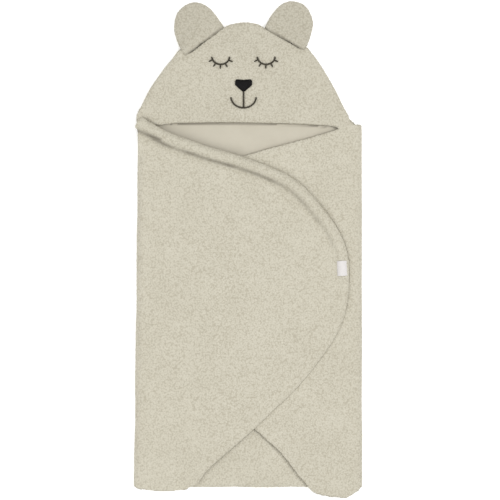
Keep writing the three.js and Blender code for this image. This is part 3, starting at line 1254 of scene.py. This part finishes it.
@dataclass
class Hood(Panel):
    """The hood: crown, front, sewn edges and turned brim in one cloth."""

    area: float = 0.046
    flat: tuple[float, float] = (0.345, 0.17)
    held: Held = Held.LAID
    crown_lift: float = 5.7 * MM
    crown_run: float = 34 * MM
    crown_lap: float = 0.9 * MM
    crown_edge: float = 3 * MM
    lining_start: float = 8 * MM
    hinge_y: float = 321.3 * MM
    bend_start: float = 336 * MM
    bend_end: float = 320 * MM
    bend_level: float = 18 * MM
    sewn_reach: float = 6 * MM
    free_reach: float = 58 * MM
    ear_reach: float = 16 * MM
    thread_reach: float = 4.5 * MM
    thread_dent: float = 0.9 * MM
    # How wide the painted shade beside the ears and the rolled edge is, and where it lies on the brim's rim.
    ear_line: float = 2.2 * MM
    roll_line: float = 3.5 * MM
    rim_along: tuple[float, float] = (206.5 * MM, 203.5 * MM)
    rim_level: tuple[float, float] = (21 * MM, 18 * MM)
    rim_half: float = 150 * MM
    roll_left: tuple[float, float] = (-176 * MM, -166 * MM)
    roll_right: tuple[float, float] = (-140 * MM, -150 * MM)
    # An even painted shade over the whole hood.
    wear_and_shade: float = 0.03
    shell: tuple[str, ...] = (
        "hood_crown_shell",
        "hood_front_shell",
        "left_hood_seam",
        "right_hood_seam",
        "crown_seam",
        "hood_brim",
    )
    threads: tuple[str, ...] = ("left_eye", "right_eye", "nose", "mouth")
    ears: tuple[str, ...] = ("left_ear_front", "right_ear_front")
    extras: tuple[Patch | Bulge, ...] = (
        Patch(
            15.7,
            20.6,
            (
                *((-179, 236), (-184.5, 226), (-186.8, 216), (-184, 206)),
                *((-151, 205.5), (-118, 209.5), (-118, 235)),
            ),
        ),
        Patch(
            15.7,
            20.6,
            ((158, 240), (168, 221), (172, 209), (152, 197.5), (146, 202), (122, 206.5), (118, 236)),
        ),
        Patch(
            4.0,
            19.5,
            ((-118.5, 328), (-112, 334.5), (-104, 331), (-96, 326), (-99, 314), (-116, 314)),
        ),
        Patch(4.0, 19.5, ((104, 330), (99.5, 336.5), (92, 337), (84, 330), (86, 314), (104, 314))),
        Patch(1.0, 15.0, ((-42, 365.5), (-39, 370.5), (-28, 376), (-18, 371), (-30, 358))),
        Patch(1.0, 15.0, ((6, 377), (17, 375), (25, 370.5), (22, 360), (2, 366))),
    )

    def _inside(self, at: Points, normal: Points) -> Points:
        """Which points the lining covers: the lower side."""
        return (normal[:, 2] < -0.5) & (at[:, 2] > self.lining_start)

    def _raise_crown(self, node: str, points: Points) -> Points:
        """Brings the crown up to the front's level where they meet."""
        if not node.startswith("hood_crown"):
            return points
        top = self.hinge_y
        moved = points.copy()
        moved[:, 2] += self.crown_lift * ramp(points[:, 1], top + self.crown_run, top)
        moved[:, 1] -= self.crown_lap * ramp(points[:, 1], top + self.crown_edge, top)
        return moved

    def _near_thread(self, points: Points) -> Points:
        """How near the embroidery each point lies, 1 under it."""
        return ramp(nearest_distance(self.threads, points, self.thread_reach), self.thread_reach, 0.0)

    def _dent(self, points: Points, normals: Points) -> Points:
        """Presses the cloth in along the embroidery."""
        moved = points.copy()
        moved[:, 2] -= self._near_thread(points) * self.thread_dent * np.clip(normals[:, 2], 0.0, 1.0)
        return moved

    def _quiet(self, points: Points) -> Points:
        """Where the pile is pressed flat by stitches."""
        return 0.7 * self._near_thread(points)

    def _dark(self, points: Points) -> Points:
        """Painted shade on the hood: an even share all over, and more on the rim of its brim, beside the ears
        and beside the rolled edge.
        """
        x, y, z = points.T
        patchy = 0.95 + 0.35 * wander(points, 60.0, 4.0)
        rim = ramp(y, *self.rim_along) * ramp(z, *self.rim_level) * (np.abs(x) < self.rim_half) * patchy
        ears = ramp(nearest_distance(self.ears, points, self.ear_line), self.ear_line, 0.0) * patchy
        undropped = points + np.array((0.0, ROLL.neck_drop, 0.0))
        apart = nearest_distance(["outer_flap_roll"], undropped, self.roll_line)
        roll = ramp(apart, self.roll_line, 0.0) * (apart > EDGE)
        roll = roll * ramp(x, *self.roll_left) * ramp(x, *self.roll_right)
        # Painted shade: an even share all over, plus the brim's rim, the ears' seams and the crease beside
        # the rolled edge.
        return self.wear_and_shade + 0.7 * rim + 0.3 * ears + 0.6 * roll

    def _follow(self, piece: bpy.types.Object) -> None:
        """Blends a cloth into the lifting front, and keeps its sewn edges on the back.

        The blend turns a whole cloth between two lines. Its stored weights are written over, so that the
        cloth near the sewn edges and beside the ears stays on the back.

        Args:
            piece: the hood's cloth or its lining.
        """
        start, end = ((0.0, y, self.bend_level) for y in (self.bend_start, self.bend_end))
        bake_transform(piece, Body.BACK.value, Body.HOOD_FRONT.value, start, end)
        points = read_points(piece.data)
        sewn = nearest_distance(["left_hood_seam", "right_hood_seam"], points, self.free_reach)
        ears = nearest_distance(self.ears, points, self.ear_reach)
        free = ramp(sewn, self.sewn_reach, self.free_reach) * ramp(ears, 2 * MM, self.ear_reach)
        weights = ramp(points[:, 1], self.bend_start, self.bend_end) * free
        piece.data.attributes[BLEND_WEIGHTS].data.foreach_set("value", weights.astype(np.float32))

    def build(self, wardrobe: Wardrobe) -> list[bpy.types.Object]:
        """Makes the hood and its lining.

        Args:
            wardrobe: the finishes.

        Returns:
            The pieces.
        """
        made = {"move": self._raise_crown, "shape": self._dent, "extras": self.extras}
        cloth = Cloth("hood_cloth", self.shell, self._inside, voxel=2.2 * MM, **made)
        cloth.build()
        lining = cloth.line("hood_lining_cloth", 0.7 * MM)
        cloth.curl(self._quiet)
        paint_shade(cloth.piece, self._dark(read_points(cloth.piece.data)))
        nodes = (self.shell, ("hood_crown_lining", "hood_front_lining"))
        return self._finish((cloth.piece, lining), wardrobe, nodes, self._follow, rests_on=["back_cloth"])


@dataclass
class Ear:
    """One stuffed ear."""

    side: str
    body: Body
    voxel: float = 3.2 * MM
    pressure: float = 3.0
    cap: float = 5 * MM
    frames: int = 16
    slim: float = 0.99
    # Width of the painted shade in the seam where the ear meets the hood.
    seam_line: float = 4.0 * MM
    tuck: float = 4.5 * MM
    tuck_reach: float = 16 * MM
    bend: float = 12 * MM
    corner_lift: float = 9.5 * MM
    corner_reach: float = 30 * MM
    corner_out: float = 2.5 * MM
    lowest: float = 0.2 * MM
    # An even painted shade over the whole ear.
    wear_and_shade: float = 0.12

    def _seam(self, centre: Points) -> tuple[Vector, Vector]:
        """The middle of the seam that the ear folds about, and the level way from it towards the ear.

        Args:
            centre: the ear's middle.

        Returns:
            The place and the way.
        """
        joint = next(joint for joint in frame["joints"] if joint["child"] == self.body.value)
        seam, axis = Vector(joint["pos_m"]), Vector(joint["axis"]).normalized()
        outward = Vector((-axis.y, axis.x, 0.0))
        if outward.dot(Vector(centre) - seam) < 0.0:
            outward.negate()
        return seam, outward

    def _inside(self, at: Points, normal: Points) -> Points:
        """Which points a lining covers: none."""
        return np.zeros(len(at), dtype=bool)

    def _slimmer(self, node: str, points: Points) -> Points:
        """Starts the pad a little smaller than its space, because it swells, and tucks it under the hood."""
        centre = points.mean(axis=0)
        moved = points.copy()
        moved[:, :2] = centre[:2] + (points[:, :2] - centre[:2]) * self.slim
        seam, outward = self._seam(centre)
        away = (points - np.array(seam)) @ np.array(outward)
        corner = points[points[:, 1].argmin()]
        apart = np.hypot(points[:, 0] - corner[0], points[:, 1] - corner[1])
        near = ramp(apart, self.corner_reach, 0.2 * self.corner_reach)
        moved -= np.outer(self.tuck * ramp(away, self.tuck_reach, 0.0) * (1.0 - near), np.array(outward))
        aside = (corner - centre)[:2] / np.linalg.norm((corner - centre)[:2])
        moved[:, :2] += np.outer(self.corner_out * near, aside)
        moved[:, 2] += self.corner_lift * near
        return moved

    def build(self, wardrobe: Wardrobe) -> bpy.types.Object:
        """Makes the ear.

        Args:
            wardrobe: the finishes.

        Returns:
            The ear.
        """
        nodes = (f"{self.side}_ear_front", f"{self.side}_ear_back")
        made = {"voxel": self.voxel, "smooth": 6, "move": self._slimmer}
        cloth = Cloth(f"{self.side}_ear_pad", nodes, self._inside, **made)
        cloth.build()
        self._puff(cloth.piece)
        modify(cloth.piece, "SUBSURF", levels=1, render_levels=1)
        cloth.curl()
        points = keep_above(cloth.piece, self.lowest)
        # Painted shade: an even share over the whole ear, and more in the seam where it meets the hood.
        hood = nearest_distance(["hood_crown_shell", "hood_front_shell"], points, self.seam_line)
        patchy = 0.9 + 0.8 * wander(points, 60.0, 6.0)
        paint_shade(cloth.piece, self.wear_and_shade + 0.4 * ramp(hood, self.seam_line, 0.5 * MM) * patchy)
        dress(cloth.piece, wardrobe.pile)
        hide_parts(*nodes)
        seam, outward = self._seam(points.mean(axis=0))
        start, end = (seam + outward * step for step in (-self.tuck, self.bend))
        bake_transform(cloth.piece, Body.BACK.value, self.body.value, tuple(start), tuple(end))
        return cloth.piece

    def _puff(self, piece: bpy.types.Object) -> None:
        """Blows the pad up with cloth simulation, and caps how far a point moves.

        Args:
            piece: the pad.
        """
        before = read_points(piece.data)
        modifier = piece.modifiers.new("cloth", "CLOTH")
        settings = modifier.settings
        settings.quality = 5
        settings.mass = 0.2
        settings.use_pressure = True
        settings.uniform_pressure_force = self.pressure
        settings.effector_weights.gravity = 0.0
        settings.tension_stiffness = 12
        settings.compression_stiffness = 12
        settings.shear_stiffness = 6
        settings.bending_stiffness = 0.6
        modifier.point_cache.frame_start = 1
        modifier.point_cache.frame_end = self.frames
        scene = bpy.context.scene
        for step in range(1, self.frames + 1):
            scene.frame_set(step)
        settle_modifiers(piece)
        scene.frame_set(1)
        after = read_points(piece.data)
        shift = after - before
        length = np.linalg.norm(shift, axis=1)
        share = np.minimum(1.0, self.cap / np.maximum(length, 1e-9))
        write_points(piece.data, before + shift * share[:, None])


@dataclass
class Embroidery:
    """The sleeping face: stem-stitched lines and a satin-stitched nose."""

    stitch: float = 5.4 * MM
    thick: float = 1.4 * MM
    twist: float = 0.16
    base: float = 21.2 * MM
    satin: float = 0.95 * MM
    satin_rise: float = 2.1 * MM
    grain_sides: int = 8
    grain_steps: int = 7
    satin_sides: int = 7
    satin_steps: int = 10
    lash: float = 7 * MM
    eye_width: float = 30 * MM
    eye_drop: float = 13 * MM
    mouth_drop: float = 18 * MM
    lash_turns: tuple[float, ...] = (-156.0, -124.0, -92.0, -60.0, -26.0)

    def _grain(self, store: bmesh.types.BMesh, start: Vector, end: Vector, radius: float) -> None:
        """Adds one plump stitch.

        Args:
            store: the mesh that takes it.
            start: where the thread comes up.
            end: where it goes down.
            radius: half its thickness.
        """
        along = end - start
        across = Vector((-along.y, along.x, 0.0)).normalized()
        up = Vector((0.0, 0.0, 1.0))
        rings = []
        for step in range(self.grain_steps + 1):
            t = step / self.grain_steps
            width = radius * (0.35 + 0.65 * math.sin(math.pi * t) ** 0.45)
            middle = start + along * t + up * (0.45 * radius * math.sin(math.pi * t) ** 0.6)
            ring = []
            for angle in ring_angles(self.grain_sides):
                offset = across * (width * math.cos(angle)) + up * (width * 0.9 * math.sin(angle))
                ring.append(store.verts.new(middle + offset))
            rings.append(ring)
        close_tube(store, rings)

    def _line(self, store: bmesh.types.BMesh, path: Sequence[Vector]) -> None:
        """Sews a line of stitches along a path.

        Args:
            store: the mesh that takes them.
            path: points close together.
        """
        lengths = [0.0]
        for first, second in zip(path, path[1:]):
            lengths.append(lengths[-1] + (second - first).length)
        count = max(1, round(lengths[-1] / (self.stitch * 0.72)))
        step = lengths[-1] / count

        def at(distance: float) -> Vector:
            """The place that far along the path."""
            distance = min(max(distance, 0.0), lengths[-1])
            index = max(1, min(len(path) - 1, int(np.searchsorted(lengths, distance))))
            share = (distance - lengths[index - 1]) / max(lengths[index] - lengths[index - 1], 1e-9)
            return path[index - 1].lerp(path[index], share)

        for number in range(count):
            start = at(number * step - 0.2 * step)
            end = at((number + 1) * step + 0.25 * step)
            along = (end - start).normalized()
            turn = Vector((-along.y, along.x, 0.0)) * (self.twist * self.thick * 2.0)
            self._grain(store, start - turn, end + turn, self.thick)

    def _finish(
        self, name: str, store: bmesh.types.BMesh, node: str, material: bpy.types.Material, slot: Slot
    ) -> bpy.types.Object:
        """Turns the stitches into a piece that follows the hood's front.

        Args:
            name: the piece's name.
            store: its mesh.
            node: the node that it stands for.
            material: its thread.
            slot: not used.

        Returns:
            The piece.
        """
        mesh = bpy.data.meshes.new(name)
        bmesh.ops.recalc_face_normals(store, faces=store.faces)
        store.to_mesh(mesh)
        store.free()
        piece = add_object(name, mesh)
        points = read_points(mesh)
        points[:, 2] += RELIEF.rise(points)
        write_points(mesh, points)
        shade_smooth(piece)
        dress(piece, material)
        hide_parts(node)
        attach(piece, Body.HOOD_FRONT.value)
        return piece

    def _oval(self, x: float, y: float, width: float, drop: float, steps: int = 40) -> list[Vector]:
        """The lower half of an oval, from left to right.

        Args:
            x: its middle.
            y: the height of its ends.
            width: its width.
            drop: how far it hangs.
            steps: how many parts it is cut into.

        Returns:
            The points.
        """
        found = []
        for step in range(steps + 1):
            angle = math.pi + math.pi * step / steps
            place = (x + math.cos(angle) * width / 2, y + math.sin(angle) * drop, self.base)
            found.append(Vector(place))
        return found

    def eye(self, side: str, wardrobe: Wardrobe) -> bpy.types.Object:
        """Sews one closed eye with its lashes.

        Args:
            side: left or right.
            wardrobe: the finishes.

        Returns:
            The eye.
        """
        low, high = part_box(f"{side}_eye")
        x = (low.x + high.x) / 2
        y = high.y
        store = bmesh.new()
        self._line(store, self._oval(x, y, self.eye_width, self.eye_drop))
        for turn in self.lash_turns:
            angle = math.radians(turn)
            way = Vector((math.cos(angle), math.sin(angle), 0.0))
            root = Vector((x + way.x * self.eye_width / 2, y + way.y * self.eye_drop, self.base))
            self._grain(store, root - way * self.thick, root + way * self.lash, self.thick * 0.92)
        name = f"{side}_eye"
        return self._finish(f"{name}_stitches", store, name, wardrobe.face_thread, Slot.FACE_THREAD)

    def nose(self, wardrobe: Wardrobe) -> bpy.types.Object:
        """Fills the nose with satin stitches that lie side by side.

        Args:
            wardrobe: the finishes.

        Returns:
            The nose.
        """
        low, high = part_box("nose")
        middle = (low.x + high.x) / 2
        half = (high.x - low.x) / 2
        store = bmesh.new()
        count = round(2.0 * half / self.satin)
        for number in range(count):
            across = -1.0 + 2.0 * (number + 0.5) / count
            wide = abs(across)
            top = high.y - 1.0 * MM * (1.0 - wide) ** 2 - 3.0 * MM * (max(0.0, wide - 0.78) / 0.22) ** 2
            depth = (high.y - low.y) * (1.08 - 0.6 * wide**1.15)
            bottom = high.y - depth + 0.4 * MM * noise.noise(Vector((number * 1.7, 0.0, 0.0)))
            self._satin(store, middle + across * half, bottom, max(top, bottom + 1.5 * MM))
        return self._finish("nose_stitches", store, "nose", wardrobe.nose_thread, Slot.NOSE_THREAD)

    def _satin(self, store: bmesh.types.BMesh, x: float, low: float, high: float) -> None:
        """Adds one long thread of the nose, arched over its padding.

        Args:
            store: the mesh that takes it.
            x: its place across.
            low: its lower end.
            high: its upper end.
        """
        radius = self.satin * 0.62
        rings = []
        for step in range(self.satin_steps + 1):
            t = step / self.satin_steps
            z = self.base - 0.6 * MM + self.satin_rise * math.sin(math.pi * t) ** 0.42
            y = low + (high - low) * t
            ring = []
            for angle in ring_angles(self.satin_sides):
                ring.append(store.verts.new((x + radius * math.cos(angle), y, z + radius * math.sin(angle))))
            rings.append(ring)
        close_tube(store, rings)

    def mouth(self, wardrobe: Wardrobe) -> bpy.types.Object:
        """Sews the smile and the line from the nose down to it.

        Args:
            wardrobe: the finishes.

        Returns:
            The mouth.
        """
        low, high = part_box("mouth")
        x = (low.x + high.x) / 2
        width = high.x - low.x - 2.8 * MM
        bottom = low.y + 1.4 * MM
        store = bmesh.new()
        self._line(store, self._oval(x, bottom + self.mouth_drop, width, self.mouth_drop))
        middle = [Vector((x, high.y - (high.y - bottom) * step / 10, self.base)) for step in range(11)]
        self._line(store, middle)
        return self._finish("mouth_stitches", store, "mouth", wardrobe.face_thread, Slot.FACE_THREAD)

    def build(self, wardrobe: Wardrobe) -> list[bpy.types.Object]:
        """Sews the whole face.

        Args:
            wardrobe: the finishes.

        Returns:
            The pieces.
        """
        eyes = [self.eye(side, wardrobe) for side in ("left", "right")]
        return [*eyes, self.nose(wardrobe), self.mouth(wardrobe)]


@dataclass
class Label:
    """The plain white tab that is sewn over the rolled edge."""

    ripple: float = 0.35 * MM
    narrower: float = 0.74
    shorter: float = 0.84
    above: float = 0.2 * MM

    def build(self, wardrobe: Wardrobe) -> bpy.types.Object:
        """Makes the tab.

        Args:
            wardrobe: the finishes.

        Returns:
            The tab.
        """
        piece = joined_copy("label_tab", ("label",), None)
        modify(piece, "REMESH", mode="VOXEL", voxel_size=0.55 * MM, adaptivity=0.0)
        modify(piece, "SMOOTH", factor=0.4, iterations=2)
        points = read_points(piece.data)
        low = points.min(axis=0)
        points[:, 0] = low[0] + (points[:, 0] - low[0]) * self.narrower
        points[:, 1] = points[:, 1].max() + (points[:, 1] - points[:, 1].max()) * self.shorter
        sunk = ROLL.height * (1.0 - float(ROLL.full(points[:, 1].mean())))
        points[:, 2] += self.ripple * wander(points, 90.0, 0.0) + RELIEF.rise(points) - sunk + self.above
        write_points(piece.data, points)
        shade_smooth(piece)
        dress(piece, wardrobe.tape)
        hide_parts("label")
        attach(piece, Body.LABEL.value)
        return piece


@dataclass
class Studio:
    """Floor, soft light and the camera above."""

    floor_size: float = 8.0
    frame_width: float = 500 * 5 / 3 * MM
    look_x: float = 3.3 * MM
    look_y: float = -0.8 * MM
    camera_height: float = 5.0
    sky: float = 0.5
    key_power: float = 66.0
    key_size: float = 2.6

    def build(self) -> None:
        """Makes the studio."""
        half = self.floor_size / 2
        mesh = bpy.data.meshes.new("floor")
        corners = [(-half, -half, 0.0), (half, -half, 0.0), (half, half, 0.0), (-half, half, 0.0)]
        mesh.from_pydata(corners, [], [(0, 1, 2, 3)])
        floor = add_object("floor", mesh)
        floor.location.z = -0.3 * MM
        floor.data.materials.append(StudioFloor().build())
        world = bpy.data.worlds.new("studio")
        world.use_nodes = True
        world.node_tree.nodes["Background"].inputs[0].default_value = (1.0, 0.99, 0.975, 1.0)
        world.node_tree.nodes["Background"].inputs[1].default_value = self.sky
        bpy.context.scene.world = world
        self._lamp("key", (1.2, 0.5, 3.2), self.key_power)
        self._lamp("fill", (-1.2, -1.0, 2.4), self.key_power * 0.5)
        bpy.context.scene.view_settings.view_transform = "Standard"
        self._camera()

    def _lamp(self, name: str, place: tuple[float, float, float], power: float) -> None:
        """Hangs one soft square lamp that faces the towel.

        Args:
            name: its name.
            place: where it hangs.
            power: in watts.
        """
        light = bpy.data.lights.new(name, "AREA")
        light.size = self.key_size
        light.energy = power
        lamp = bpy.data.objects.new(name, light)
        lamp.location = place
        lamp.rotation_euler = Vector(place).to_track_quat("Z", "Y").to_euler()
        bpy.context.scene.collection.objects.link(lamp)

    def _camera(self) -> None:
        """Hangs the camera straight above, on a long lens."""
        data = bpy.data.cameras.new("camera")
        data.sensor_width = 36.0
        data.lens = data.sensor_width * self.camera_height / self.frame_width
        data.clip_end = 50.0
        camera = bpy.data.objects.new("camera", data)
        camera.location = (self.look_x, self.look_y, self.camera_height)
        bpy.context.scene.collection.objects.link(camera)
        bpy.context.scene.camera = camera


def main() -> None:
    """Builds the towel piece by piece."""
    logging.basicConfig(level=logging.INFO, format="%(name)s: %(message)s")
    for name in START_OBJECTS:
        if name in bpy.data.objects:
            bpy.data.objects.remove(bpy.data.objects[name])
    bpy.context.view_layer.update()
    wardrobe = Wardrobe()
    made: list[bpy.types.Object] = []
    for part in (BackPanel(), FootPocket(), InnerFlap(), OuterFlap(), Hood()):
        made.extend(part.build(wardrobe))
    for ear in (Ear("left", Body.LEFT_EAR), Ear("right", Body.RIGHT_EAR)):
        made.append(ear.build(wardrobe))
    made.extend(Embroidery().build(wardrobe))
    made.append(Label().build(wardrobe))
    for piece in made:
        log.info("%s: %d faces", piece.name, len(piece.data.polygons))
    Studio().build()


if __name__ == "__main__":
    main()
